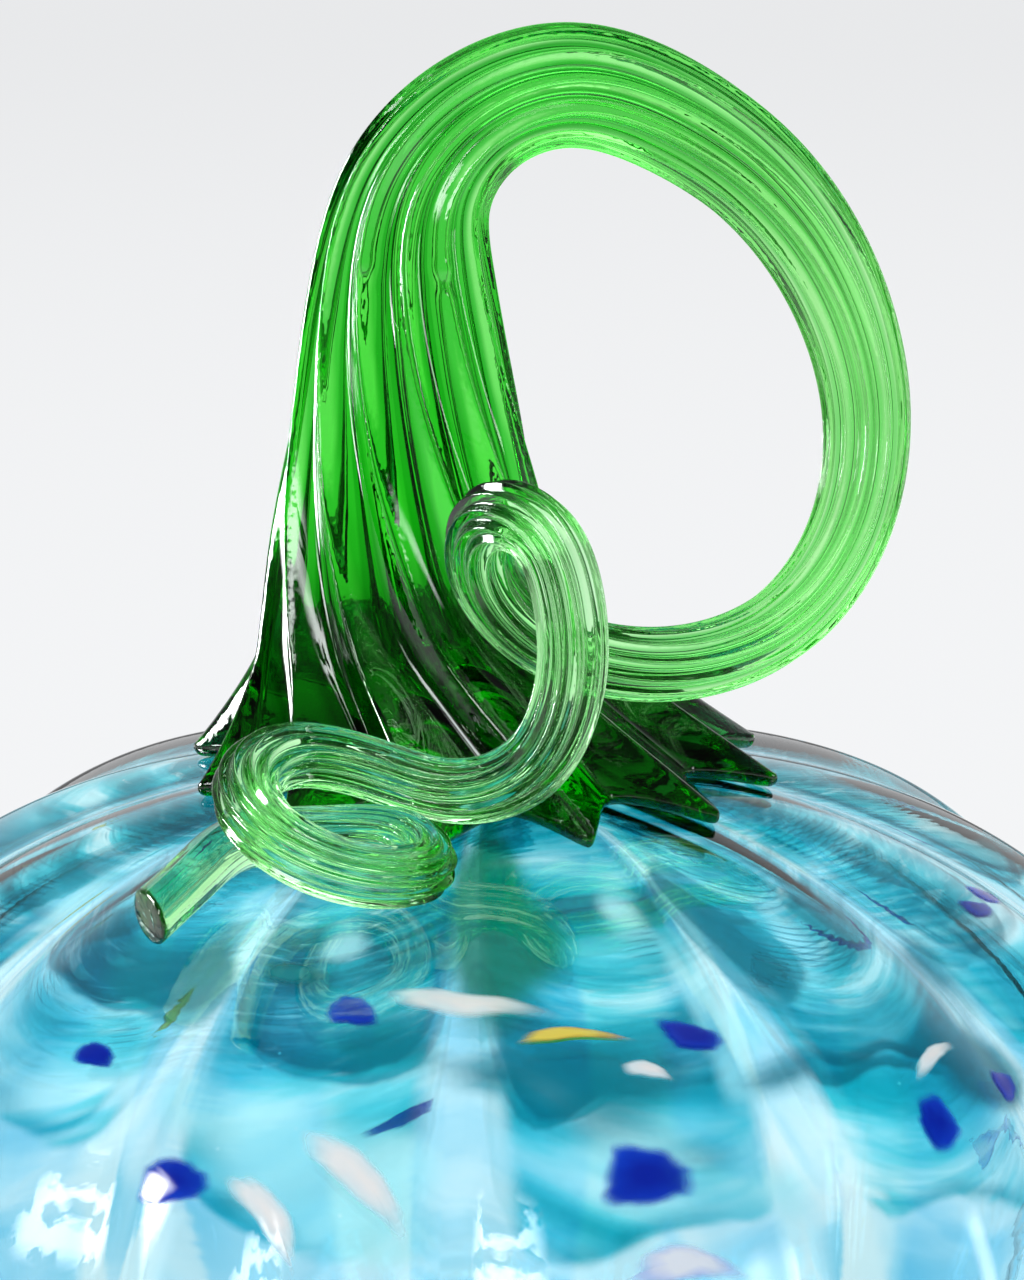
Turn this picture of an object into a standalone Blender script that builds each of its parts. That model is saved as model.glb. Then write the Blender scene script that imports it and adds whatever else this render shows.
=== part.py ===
"""Hand-blown glass pumpkin: a hollow ribbed body, a solid curled stem and frit inlaid in the body.

Metres, +Z up, standing on Z = 0. A bearing is in degrees from the front (-Y) towards the right (+X).
"""
import math

import bmesh
import bpy
import numpy as np
from mathutils import Matrix

# Body
BODY_DIAMETER = 0.182
BODY_RISE = 0.064
BODY_DROP = 0.056
SHOULDER_POWER = 2.4
BELLY_POWER = 2.2
BODY_WALL = 0.0036
BODY_RIBS = 13
RIB_DEPTH = 0.0046
RIB_ROUNDING = 0.22
VALLEY_BEARING = -2.0
NECK_BORE = 0.026

# Base
BASE_RING_DIAMETER = 0.078
BASE_RING_WIDTH = 0.011
KICK_HEIGHT = 0.005

# Stem
STEM_RIBS = 12
SEAT_GAP = 0.0003
PLUG_LENGTH = 0.0055
FOOT_TIP_RADIUS = 0.036
FOOT_NOTCH_RADIUS = 0.0265
FOOT_EDGE = 0.0022
FOOT_FLARE = 0.0325
FOOT_TIP_BEARING = 20.0
UPRIGHT_LENGTH = 0.040
COLUMN_TWIST = 52.0
TWIST_LENGTH = 0.070
CURL_TWIST = 120.0
FOOT_RIDGE = 0.0046
COLUMN_RIDGE = 0.0028
LOOP_RIDGE = 0.0008
CURL_RIDGE = 0.0005
TAIL_RIDGE = 0.0001
FOOT_SHIFT = 0.0006
ROUTE_UNIT = 0.001

# Frit
FRIT_DEPTH = 0.0015
FRIT_CROWN = 0.0003
FRIT_GAP = 0.0003
FRIT_CUT_RISE = 0.002
FRIT_UNIT = 0.001

# Mesh fineness
BODY_STEPS_PER_RIB = 6
STEM_STEPS_PER_RIB = 3
STEM_RINGS = 66
FRIT_CORNERS = 10
RING_SPACING = 0.010
OUTLINE_MERGE = 0.0002
NORMAL_REACH = 0.0005
MERGE = 0.00001

# Route of the stem's centre line from its foot, in route units: right, back, up, and radius over ridges
STEM_ROUTE = (
    (-2.4, 0.0, 8.0, 28.0),
    (-5.2, 0.0, 12.0, 24.0),
    (-7.4, 0.0, 17.0, 20.4),
    (-8.8, 0.0, 30.0, 16.8),
    (-9.3, 0.0, 46.0, 13.7),
    (-9.4, 0.0, 60.0, 11.2),
    (-7.6, 0.0, 71.0, 9.2),
    (0.0, 0.5, 80.0, 7.8),
    (10.0, 2.0, 83.0, 7.5),
    (22.0, 4.0, 79.4, 7.3),
    (35.0, 7.0, 69.3, 6.7),
    (43.4, 9.0, 55.8, 6.0),
    (46.6, 8.0, 42.6, 5.5),
    (44.5, 3.0, 29.5, 5.1),
    (37.0, -4.5, 20.2, 4.8),
    (26.0, -12.5, 16.8, 4.6),
    (14.0, -19.0, 18.4, 4.5),
    (4.6, -22.5, 23.5, 4.4),
    (-0.2, -25.5, 32.0, 4.3),
    (1.6, -31.0, 38.2, 4.2),
    (6.6, -36.0, 37.2, 4.2),
    (9.8, -38.7, 29.0, 4.2),
    (9.6, -39.2, 19.5, 4.2),
    (5.6, -39.0, 11.2, 4.1),
    (-2.5, -36.6, 7.4, 3.9),
    (-12.0, -33.6, 9.0, 3.8),
    (-21.0, -36.2, 11.6, 3.9),
    (-26.2, -45.0, 11.0, 4.0),
    (-23.0, -55.2, 7.6, 3.9),
    (-13.5, -58.5, 4.2, 3.7),
    (-6.5, -53.0, 3.2, 3.6),
    (-8.6, -45.6, 4.2, 3.5),
    (-18.5, -41.0, 3.6, 3.4),
    (-27.5, -40.0, 2.4, 3.3),
    (-32.5, -47.0, 0.4, 3.2),
    (-36.5, -56.0, -1.2, 3.2),
)

# Frit seen from the front: colour, bearing, way down from the neck, length, width (frit units) and tilt
FRONT_FRIT = (
    ("white", -2.0, 50.0, 19.0, 3.6, -8.0),
    ("amber", 9.5, 56.0, 8.5, 3.0, -8.0),
    ("cobalt", -13.0, 52.5, 5.5, 4.5, 0.0),
    ("white", 15.0, 61.0, 6.0, 2.2, -16.0),
    ("cobalt", 20.5, 56.0, 9.0, 3.8, -6.0),
    ("cobalt", 12.8, 73.5, 11.0, 6.6, -8.0),
    ("cobalt", 39.5, 73.5, 5.6, 6.6, 12.0),
    ("white", 43.0, 66.0, 9.0, 2.2, 14.0),
    ("cobalt", 51.0, 71.5, 5.2, 4.8, 0.0),
    ("cobalt", -25.5, 75.5, 9.6, 6.0, 10.0),
    ("white", -16.4, 80.0, 10.0, 4.0, -46.0),
    ("white", -9.8, 74.5, 14.0, 3.6, -42.0),
    ("lilac", 14.8, 84.0, 15.0, 4.0, -6.0),
    ("cobalt", -37.0, 63.0, 4.6, 3.4, 0.0),
    ("sea", -21.0, 47.5, 8.0, 4.2, -10.0),
)

# The rest, round the shoulder and the belly: pieces, first bearing, span, top and spread (frit units)
SHOULDER_FRIT = (12, 72.0, 244.0, 52.0, 34.0)
BELLY_FRIT = (12, 4.0, 360.0, 97.0, 42.0)
FRIT_CYCLE = ("cobalt", "white", "sea", "cobalt", "lilac", "white", "cobalt", "amber")

COLOURS = {
    "aqua": (0.16, 0.62, 0.74),
    "green": (0.05, 0.45, 0.06),
    "cobalt": (0.01, 0.03, 0.45),
    "white": (0.84, 0.83, 0.86),
    "amber": (0.72, 0.33, 0.03),
    "lilac": (0.50, 0.46, 0.78),
    "sea": (0.01, 0.25, 0.27),
}

for old in list(bpy.data.objects):
    bpy.data.objects.remove(old)

pumpkin = bpy.data.collections.new("glass_pumpkin")
cutters = bpy.data.collections.new("frit_cutters")
bpy.context.scene.collection.children.link(pumpkin)
bpy.context.scene.collection.children.link(cutters)


def glass(name):
    """A clear coloured glass in one of the named colours."""
    material = bpy.data.materials.new(name + "_glass")
    material.use_nodes = True
    shader = material.node_tree.nodes["Principled BSDF"]
    shader.inputs["Base Color"].default_value = (*COLOURS[name], 1.0)
    shader.inputs["Roughness"].default_value = 0.05
    shader.inputs["Transmission Weight"].default_value = 0.9
    return material


MATERIALS = {name: glass(name) for name in COLOURS}


def finish(bm, name, collection, material=None):
    """Turn a bmesh into a named object with its normals facing out."""
    bmesh.ops.remove_doubles(bm, verts=bm.verts, dist=MERGE)
    bmesh.ops.dissolve_degenerate(bm, edges=bm.edges, dist=MERGE)
    bmesh.ops.recalc_face_normals(bm, faces=bm.faces)
    mesh = bpy.data.meshes.new(name)
    bm.to_mesh(mesh)
    bm.free()
    mesh.shade_smooth()
    mesh.set_sharp_from_angle(angle=math.radians(40.0))
    thing = bpy.data.objects.new(name, mesh)
    collection.objects.link(thing)
    if material is not None:
        mesh.materials.append(material)
    return thing


def wrapped_grid(columns, rows, place):
    """A grid bent round so that its first and last columns meet; place gives a column and row's point."""
    bm = bmesh.new()
    bmesh.ops.create_grid(bm, x_segments=columns, y_segments=rows, size=1.0)
    for vertex in bm.verts:
        column = round((vertex.co.x + 1.0) / 2.0 * columns)
        row = round((vertex.co.y + 1.0) / 2.0 * rows)
        vertex.co = place(column % columns, row)
    return bm


# Outline of the body, from the lip of the neck over the shoulder and belly to the middle of the base
body_radius = BODY_DIAMETER / 2.0
ring_outer = BASE_RING_DIAMETER / 2.0
ring_inner = ring_outer - BASE_RING_WIDTH
neck_radius = NECK_BORE / 2.0
belly_depth = BODY_DROP / (1.0 - (ring_outer / body_radius) ** BELLY_POWER) ** (1.0 / BELLY_POWER)


def body_outline():
    """Radius and height along the outside of the body, with the arc length at each, as three arrays."""
    sweep = np.linspace(0.0, math.pi / 2.0, 900)
    upper = np.stack([body_radius * np.sin(sweep) ** (2.0 / SHOULDER_POWER),
                      BODY_DROP + BODY_RISE * np.cos(sweep) ** (2.0 / SHOULDER_POWER)], axis=1)
    lower = np.stack([body_radius * np.cos(sweep) ** (2.0 / BELLY_POWER),
                      BODY_DROP - belly_depth * np.sin(sweep) ** (2.0 / BELLY_POWER)], axis=1)
    neck_share = (1.0 - (neck_radius / body_radius) ** SHOULDER_POWER) ** (1.0 / SHOULDER_POWER)
    neck_height = BODY_DROP + BODY_RISE * neck_share
    inward = np.linspace(ring_inner, 0.0, 60)
    kick = np.stack([inward, KICK_HEIGHT * (1.0 - (inward / ring_inner) ** 2)], axis=1)
    points = np.concatenate([[(neck_radius, neck_height)], upper[upper[:, 0] > neck_radius + OUTLINE_MERGE],
                             lower[1:][lower[1:, 0] > ring_outer + OUTLINE_MERGE], [(ring_outer, 0.0)], kick])
    arc = np.concatenate([[0.0], np.cumsum(np.hypot(*np.diff(points, axis=0).T))])
    return points[:, 0], points[:, 1], arc


outline_radius, outline_height, outline_arc = body_outline()
widest = int(np.argmax(outline_radius))
arc_widest = float(outline_arc[widest])
arc_ring = float(outline_arc[-61])
arc_inner = float(outline_arc[-60])
arc_end = float(outline_arc[-1])


def arc_at_radius(radius):
    """Arc length from the neck to the place on the shoulder at that distance from the axis."""
    return float(np.interp(radius, outline_radius[:widest], outline_arc[:widest]))


def rib_depth(arc):
    """How deep the valleys between the ribs are at that arc length."""
    radius = float(np.interp(arc, outline_arc, outline_radius))
    if arc <= arc_widest:
        return RIB_DEPTH * (radius / body_radius) ** 2
    if arc >= arc_ring:
        return 0.0
    return RIB_DEPTH * ((radius - ring_outer) / (body_radius - ring_outer)) ** 0.8


def valley(bearing):
    """1 in the valley between two ribs and 0 on the crest of a rib."""
    phase = math.radians(bearing - VALLEY_BEARING) * BODY_RIBS / 2.0
    full = math.hypot(1.0, RIB_ROUNDING)
    return (full - math.hypot(math.sin(phase), RIB_ROUNDING)) / (full - RIB_ROUNDING)


def body_point(arc, bearing, lift=0.0):
    """A point over the outside of the body, lifted off it along the outline's normal."""
    reach = NORMAL_REACH
    ends = arc - reach, arc + reach
    run = float(np.diff(np.interp(ends, outline_arc, outline_radius))[0])
    fall = float(np.diff(np.interp(ends, outline_arc, outline_height))[0])
    size = math.hypot(run, fall)
    rise = lift - rib_depth(arc) * valley(bearing)
    radius = np.interp(arc, outline_arc, outline_radius) - rise * fall / size
    height = np.interp(arc, outline_arc, outline_height) + rise * run / size
    turn = math.radians(bearing)
    return (radius * math.sin(turn), -radius * math.cos(turn), height)


# Body: the outside as an open skin, thickened inwards by the wall
body_columns = BODY_RIBS * BODY_STEPS_PER_RIB
arc_tip = arc_at_radius(FOOT_TIP_RADIUS)
arc_notch = arc_at_radius(FOOT_NOTCH_RADIUS)
stations = np.concatenate([np.linspace(0.0, arc_tip, 4), np.linspace(arc_tip, arc_widest, 8)[1:],
                           np.linspace(arc_widest, arc_ring, 8)[1:],
                           np.linspace(arc_inner, arc_end, 3)])


def body_place(column, row):
    """The body's skin: columns go round, rows go from the neck to the middle of the base."""
    arc = float(stations[row])
    if row == len(stations) - 1:
        return (0.0, 0.0, KICK_HEIGHT)
    if arc >= arc_ring:
        radius = float(np.interp(arc, outline_arc, outline_radius))
        turn = math.radians(VALLEY_BEARING + 360.0 * column / body_columns)
        height = float(np.interp(arc, outline_arc, outline_height))
        return (radius * math.sin(turn), -radius * math.cos(turn), height)
    return body_point(arc, VALLEY_BEARING + 360.0 * column / body_columns)


body_mesh = wrapped_grid(body_columns, len(stations) - 1, body_place)
body = finish(body_mesh, "body_shell", pumpkin, MATERIALS["aqua"])
wall = body.modifiers.new("wall", "SOLIDIFY")
wall.thickness = BODY_WALL
wall.offset = -1.0
wall.use_even_offset = True


# Stem: rings from the plug in the neck, out under the foot, over its edge, up the column and the curls
def spline(points, count):
    """A smooth curve through the points (a natural cubic over chord length), at that many even steps."""
    points = np.asarray(points, float)
    knots = np.concatenate([[0.0], np.cumsum(np.linalg.norm(np.diff(points[:, :3], axis=0), axis=1))])
    gap = np.diff(knots)
    size = len(points)
    system = np.eye(size)
    right = np.zeros_like(points)
    for i in range(1, size - 1):
        system[i, i - 1:i + 2] = gap[i - 1], 2.0 * (gap[i - 1] + gap[i]), gap[i]
        right[i] = 6.0 * ((points[i + 1] - points[i]) / gap[i] - (points[i] - points[i - 1]) / gap[i - 1])
    bend = np.linalg.solve(system, right)
    at = np.linspace(0.0, knots[-1], count)
    span = np.clip(np.searchsorted(knots, at) - 1, 0, size - 2)
    left = (at - knots[span])[:, None]
    rest = (knots[span + 1] - at)[:, None]
    width = gap[span][:, None]
    return (bend[span] * rest ** 3 / (6.0 * width) + bend[span + 1] * left ** 3 / (6.0 * width)
            + (points[span] / width - bend[span] * width / 6.0) * rest
            + (points[span + 1] / width - bend[span + 1] * width / 6.0) * left)


foot_level = float(np.interp(arc_tip, outline_arc, outline_height))
lip_level = float(outline_height[0])
plug_radius = neck_radius - SEAT_GAP
stem_columns = STEM_RIBS * STEM_STEPS_PER_RIB

route = spline(STEM_ROUTE, 1200)
centre_line = route[:, :3] * ROUTE_UNIT + np.array([0.0, 0.0, foot_level])
route_radius = route[:, 3] * ROUTE_UNIT
tangent = np.gradient(centre_line, axis=0)
tangent /= np.linalg.norm(tangent, axis=1)[:, None]
along = np.concatenate([[0.0], np.cumsum(np.linalg.norm(np.diff(centre_line, axis=0), axis=1))])


def stem_frames():
    """Two directions across the stem at every step of the route, carried along it without spinning."""
    across = np.zeros_like(centre_line)
    side = np.array([1.0, 0.0, 0.0])
    lean = np.clip(along / UPRIGHT_LENGTH, 0.0, 1.0)[:, None]
    way = tangent * lean + np.array([0.0, 0.0, 1.0]) * (1.0 - lean)
    way /= np.linalg.norm(way, axis=1)[:, None]
    for i, ahead in enumerate(way):
        side = side - ahead * np.dot(side, ahead)
        side = side / np.linalg.norm(side)
        across[i] = side
    return across, np.cross(across, way)


stem_right, stem_front = stem_frames()
stem_twist = -COLUMN_TWIST * np.sin(np.clip(along / TWIST_LENGTH, 0.0, 1.0) * math.pi / 2.0) ** 1.2
stem_twist -= CURL_TWIST * np.clip(along - TWIST_LENGTH, 0.0, None)
ridge_height = np.interp(along / along[-1], (0.0, 0.03, 0.12, 0.25, 0.5, 0.87, 0.94, 1.0),
                         (FOOT_RIDGE, COLUMN_RIDGE, 0.7 * COLUMN_RIDGE, LOOP_RIDGE,
                          CURL_RIDGE, CURL_RIDGE, TAIL_RIDGE, 0.0))
bends = np.arccos(np.clip(np.sum(tangent[1:] * tangent[:-1], axis=1), -1.0, 1.0))
turned = np.concatenate([[0.0], np.cumsum(bends)])
effort = along / RING_SPACING + turned / math.radians(15.0)
ring_steps = np.searchsorted(effort, np.linspace(0.0, effort[-1], STEM_RINGS)).clip(0, len(along) - 1)


def crest(bearing):
    """1 on the crest of a stem ridge, falling to 0 in the flute between two ridges."""
    phase = ((bearing - FOOT_TIP_BEARING) * STEM_RIBS / 360.0 + 0.5) % 1.0 - 0.5
    return math.exp(-(phase / 0.16) ** 2)


def foot_edge(bearing):
    """Arc length at which the foot ends: far out on a lobe and near in between two lobes."""
    return arc_notch + (arc_tip - arc_notch) * crest(bearing)


def foot_ring(row, bearing):
    """The rings under the foot and round its edge, which follow the body's own surface."""
    turn = math.radians(bearing)
    edge = foot_edge(bearing)
    if row == 0:
        narrow = 0.8 * plug_radius
        return (narrow * math.sin(turn), -narrow * math.cos(turn), lip_level - PLUG_LENGTH)
    if row == 1:
        return (plug_radius * math.sin(turn), -plug_radius * math.cos(turn), lip_level - PLUG_LENGTH * 0.75)
    if row == 2:
        return (plug_radius * math.sin(turn), -plug_radius * math.cos(turn), lip_level + SEAT_GAP)
    if row in (3, 4):
        return body_point(edge * (row - 2) / 3.0, bearing, SEAT_GAP)
    if row == 5:
        return body_point(edge - FOOT_EDGE * 0.4, bearing, SEAT_GAP)
    if row == 6:
        return body_point(edge, bearing, SEAT_GAP + FOOT_EDGE * 0.45)
    if row == 7:
        return body_point(edge - FOOT_EDGE * 0.7, bearing, SEAT_GAP + FOOT_EDGE)
    radius = FOOT_FLARE - 1.2 * FOOT_RIDGE * (1.0 - crest(bearing))
    return (radius * math.sin(turn) - FOOT_SHIFT, -radius * math.cos(turn), foot_level + 2.0 * FOOT_EDGE)


FOOT_RINGS = 9


def stem_place(column, row):
    """The stem's skin: columns go round the ridges, rows go from the plug to the tip of the tail."""
    bearing = FOOT_TIP_BEARING + 360.0 * column / stem_columns
    if row < FOOT_RINGS:
        return foot_ring(row, bearing)
    step = ring_steps[row - FOOT_RINGS]
    radius = route_radius[step] - ridge_height[step] * (1.0 - crest(bearing))
    turn = math.radians(bearing + stem_twist[step])
    offset = stem_right[step] * math.sin(turn) + stem_front[step] * math.cos(turn)
    return tuple(centre_line[step] + radius * offset)


stem_mesh = wrapped_grid(stem_columns, FOOT_RINGS + STEM_RINGS - 1, stem_place)
bmesh.ops.remove_doubles(stem_mesh, verts=stem_mesh.verts, dist=MERGE)
bmesh.ops.holes_fill(stem_mesh, edges=[edge for edge in stem_mesh.edges if edge.is_boundary], sides=0)
stem = finish(stem_mesh, "curled_stem", pumpkin, MATERIALS["green"])


# Frit: lens-shaped pieces laid in the skin of the body, each in a pocket of its own
def frit_lens(name, place, grow, crown, collection, material=None):
    """A lens that follows the body's surface at its place, grown all round by a clearance."""
    number, bearing, down, length, width, tilt = place
    centre = down * FRIT_UNIT
    radius = float(np.interp(centre, outline_arc, outline_radius))
    lean = math.radians(tilt)
    bm = bmesh.new()
    bmesh.ops.create_uvsphere(bm, u_segments=FRIT_CORNERS, v_segments=4, radius=1.0)
    for vertex in bm.verts:
        turn = math.atan2(vertex.co.y, vertex.co.x)
        wobble = 1.0 + 0.10 * math.sin(2.0 * turn + number) + 0.09 * math.sin(3.0 * turn + 1.7 * number)
        x = vertex.co.x * (length * FRIT_UNIT / 2.0 * wobble + grow)
        y = vertex.co.y * (width * FRIT_UNIT / 2.0 * wobble + grow)
        aside = x * math.cos(lean) - y * math.sin(lean)
        upward = x * math.sin(lean) + y * math.cos(lean)
        lift = vertex.co.z * (crown if vertex.co.z > 0.0 else FRIT_DEPTH + grow)
        vertex.co = body_point(centre - upward, bearing + math.degrees(aside / radius), lift)
    return finish(bm, name, collection, material)


def frit_band(pieces, first, span, top, spread):
    """A band of frit round the body: evenly round, and stepping up and down within the band."""
    rows = []
    for i in range(pieces):
        bearing = first + span * i / pieces + 5.0 * math.sin(2.4 * i)
        down = top + spread * ((0.618 * i) % 1.0)
        length, width, tilt = 6.0 + 2.6 * (i % 4), 3.4 + 1.1 * (i % 3), -30.0 + 13.0 * (i % 5)
        rows.append((FRIT_CYCLE[i % len(FRIT_CYCLE)], bearing, down, length, width, tilt))
    return rows


counts = {}
all_frit = list(FRONT_FRIT) + frit_band(*SHOULDER_FRIT) + frit_band(*BELLY_FRIT)
for index, (colour, *spot) in enumerate(all_frit):
    counts[colour] = counts.get(colour, 0) + 1
    label = "frit_%s_%02d" % (colour, counts[colour])
    frit_lens(label, (index, *spot), 0.0, FRIT_CROWN, pumpkin, MATERIALS[colour])
    cutter = frit_lens("cut_" + label, (index, *spot), FRIT_GAP, FRIT_CROWN + FRIT_CUT_RISE, cutters)
    cutter.hide_render = True
    cutter.display_type = "WIRE"

pockets = body.modifiers.new("frit_pockets", "BOOLEAN")
pockets.operation = "DIFFERENCE"
pockets.solver = "EXACT"
pockets.operand_type = "COLLECTION"
pockets.collection = cutters

# An odd count of ribs leaves the outline off centre, so everything moves to stand centred on the origin
skin = np.array([vertex.co[:] for vertex in body.data.vertices])
middle = (skin.min(axis=0) + skin.max(axis=0)) / 2.0
for thing in list(pumpkin.objects) + list(cutters.objects):
    thing.data.transform(Matrix.Translation((-middle[0], -middle[1], 0.0)))
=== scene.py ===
"""Hand-blown glass pumpkin: a hollow aqua body with coloured frit in its skin, and a solid green stem that is
curled over it.

Metres, +Z up. A bearing is an angle round the body from the front (-Y) towards the right (+X).
"""
import math

import bpy
import numpy as np
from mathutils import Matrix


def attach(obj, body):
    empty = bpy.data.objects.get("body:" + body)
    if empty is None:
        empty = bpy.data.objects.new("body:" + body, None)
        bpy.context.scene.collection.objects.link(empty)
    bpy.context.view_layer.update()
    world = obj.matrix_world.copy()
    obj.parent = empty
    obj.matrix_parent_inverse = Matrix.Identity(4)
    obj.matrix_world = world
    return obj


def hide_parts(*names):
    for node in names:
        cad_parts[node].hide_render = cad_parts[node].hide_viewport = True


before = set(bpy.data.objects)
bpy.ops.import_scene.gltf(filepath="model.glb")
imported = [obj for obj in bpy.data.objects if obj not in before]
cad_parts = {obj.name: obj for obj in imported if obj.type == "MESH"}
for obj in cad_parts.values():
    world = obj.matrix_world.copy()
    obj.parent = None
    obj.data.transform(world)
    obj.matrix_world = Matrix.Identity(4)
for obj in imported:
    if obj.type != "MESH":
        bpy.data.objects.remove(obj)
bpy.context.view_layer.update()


# Body. A bubble of aqua glass blown in a ribbed mould, so that it swells into lobes with a crease between
# each two. It is cracked off the pipe at the neck, stands on a flattened ring, and its base is pushed up
# inside that ring.
body_radius = 0.091
body_rise = 0.064
body_drop = 0.056
shoulder_power = 2.4
belly_power = 2.2
body_wall = 0.0036
body_ribs = 13
rib_depth = 0.0046
rib_fade_power = 0.8
crease_rounding = 0.22
crease_bearing = math.radians(-2.0)
neck_radius = 0.013
ring_outer = 0.039
ring_inner = 0.028
kick_height = 0.005
skin_inset = 0.0002
outline_points = 900
kick_points = 60
join_gap = 0.0002
slope_reach = 0.0006


def body_outline():
    """Half outline of the body: an upper superellipse from the neck to the widest line, a lower one down to
    the ring, the flat ring, and a parabola up to the middle of the base. Gives radius, height and arc
    length."""
    sweep = np.linspace(0.0, math.pi / 2.0, outline_points)
    belly_depth = body_drop / (1.0 - (ring_outer / body_radius) ** belly_power) ** (1.0 / belly_power)
    upper = np.stack([body_radius * np.sin(sweep) ** (2.0 / shoulder_power),
                      body_drop + body_rise * np.cos(sweep) ** (2.0 / shoulder_power)], axis=1)
    lower = np.stack([body_radius * np.cos(sweep) ** (2.0 / belly_power),
                      body_drop - belly_depth * np.sin(sweep) ** (2.0 / belly_power)], axis=1)
    neck_share = (1.0 - (neck_radius / body_radius) ** shoulder_power) ** (1.0 / shoulder_power)
    neck = [(neck_radius, body_drop + body_rise * neck_share)]
    inward = np.linspace(ring_inner, 0.0, kick_points)
    kick = np.stack([inward, kick_height * (1.0 - (inward / ring_inner) ** 2)], axis=1)
    line = np.concatenate([neck, upper[upper[:, 0] > neck_radius + join_gap],
                           lower[1:][lower[1:, 0] > ring_outer + join_gap], [(ring_outer, 0.0)], kick])
    arc = np.concatenate([[0.0], np.cumsum(np.hypot(*np.diff(line, axis=0).T))])
    return line[:, 0], line[:, 1], arc


line_radius, line_height, line_arc = body_outline()
widest = int(np.argmax(line_radius))
arc_widest = line_arc[widest]
arc_ring = line_arc[-kick_points - 1]
arc_inner = line_arc[-kick_points]
arc_end = line_arc[-1]


def crease(bearing):
    """1 in the crease between two lobes and 0 on a lobe's crest: a rounded |sin| of half the rib angle."""
    full = math.hypot(1.0, crease_rounding)
    folded = np.hypot(np.sin((bearing - crease_bearing) * body_ribs / 2.0), crease_rounding)
    return (full - folded) / (full - crease_rounding)


def crease_depth(arc):
    """Depth of the creases: the square of the radius over the shoulder, fading out towards the ring below."""
    radius = np.interp(arc, line_arc, line_radius)
    above = rib_depth * (radius / body_radius) ** 2
    left = np.clip((radius - ring_outer) / (body_radius - ring_outer), 0.0, 1.0)
    below = rib_depth * left ** rib_fade_power
    return np.where(arc <= arc_widest, above, np.where(arc < arc_ring, below, 0.0))


def body_at(arc, bearing, lift):
    """A point of the body's skin at an arc length and bearing, moved off it along the outline's normal by
    lift, less the depth of the crease there. All three are arrays of one shape; gives their points."""
    before, beyond = arc - slope_reach, arc + slope_reach
    run = np.interp(beyond, line_arc, line_radius) - np.interp(before, line_arc, line_radius)
    fall = np.interp(beyond, line_arc, line_height) - np.interp(before, line_arc, line_height)
    size = np.hypot(run, fall)
    rise = lift - crease_depth(arc) * crease(bearing)
    radius = np.interp(arc, line_arc, line_radius) - rise * fall / size
    height = np.interp(arc, line_arc, line_height) + rise * run / size
    return np.stack([radius * np.sin(bearing), -radius * np.cos(bearing), height], axis=-1)


def grid_quads(rows, columns):
    """The four corners of each face on a grid of points that wraps round in its columns, row by row."""
    row, column = np.meshgrid(np.arange(rows - 1), np.arange(columns), indexing="ij")
    after = (column + 1) % columns
    return np.stack([row * columns + column, row * columns + after,
                     (row + 1) * columns + after, (row + 1) * columns + column], axis=-1).reshape(-1, 4)


def skin_mesh(name, grid, across, along, **marks):
    """A closed skin from a grid of points (rows, columns, 3) that wraps round in its columns, with a flat cap
    on the first and last row. Its map runs across the columns and along the rows by the two arrays given, and
    each mark is a number at every point of the grid that its material can read."""
    rows, columns = grid.shape[:2]
    row, column = np.meshgrid(np.arange(rows - 1), np.arange(columns), indexing="ij")
    corner_u = np.stack([across[column], across[column + 1], across[column + 1], across[column]], axis=-1)
    corner_v = np.stack([along[row], along[row], along[row + 1], along[row + 1]], axis=-1)
    maps = np.stack([corner_u, corner_v], axis=-1).reshape(-1, 4, 2)
    points = grid.reshape(-1, 3)
    quads = grid_quads(rows, columns)
    first = np.arange(columns)[::-1]
    last = (rows - 1) * columns + np.arange(columns)
    faces = quads.tolist() + [first.tolist(), last.tolist()]
    a, b, c, d = (points[quads[:, k]] for k in range(4))
    volume = np.sum(np.cross(a, b) * c + np.cross(a, c) * d)
    if volume < 0.0:
        faces = [face[::-1] for face in faces]
        maps = maps[:, ::-1]
    mesh = bpy.data.meshes.new(name)
    mesh.from_pydata(points.tolist(), [], faces)
    layer = mesh.uv_layers.new(name="surface")
    loops = np.zeros((len(mesh.loops), 2))
    loops[:maps.shape[0] * 4] = maps.reshape(-1, 2)
    layer.data.foreach_set("uv", loops.ravel())
    for label, values in marks.items():
        mesh.attributes.new(label, "FLOAT", "POINT").data.foreach_set("value", values.ravel())
    mesh.shade_smooth()
    thing = bpy.data.objects.new(name, mesh)
    bpy.context.scene.collection.objects.link(thing)
    return thing


columns_per_rib = 24
outer_rows, outer_base_rows = 150, 22
inner_rows, inner_base_rows = 70, 14
ring_margin = 0.0012
inner_margin = 0.004
base_gap = 0.0004
body_turn = np.linspace(0.0, 2.0 * math.pi, body_ribs * columns_per_rib + 1)
outer_arc = np.concatenate([np.linspace(0.0, arc_ring - ring_margin, outer_rows), [arc_ring, arc_inner],
                            np.linspace(arc_inner + ring_margin, arc_end - base_gap, outer_base_rows)])
inner_arc = np.concatenate([np.linspace(0.0, arc_ring - inner_margin, inner_rows),
                            np.linspace(arc_inner + inner_margin, arc_end - base_gap, inner_base_rows)])


def blown_wave(arc, bearing):
    """The slow unevenness of hand-blown glass, from 0 down to -1: three crossing sine waves round and down
    the body."""
    wave = (np.sin(5.0 * bearing + 62.0 * arc) + np.sin(9.0 * bearing - 95.0 * arc + 1.3)
            + np.sin(3.0 * bearing + 130.0 * arc + 2.1))
    return wave / 6.0 - 0.5


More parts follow.
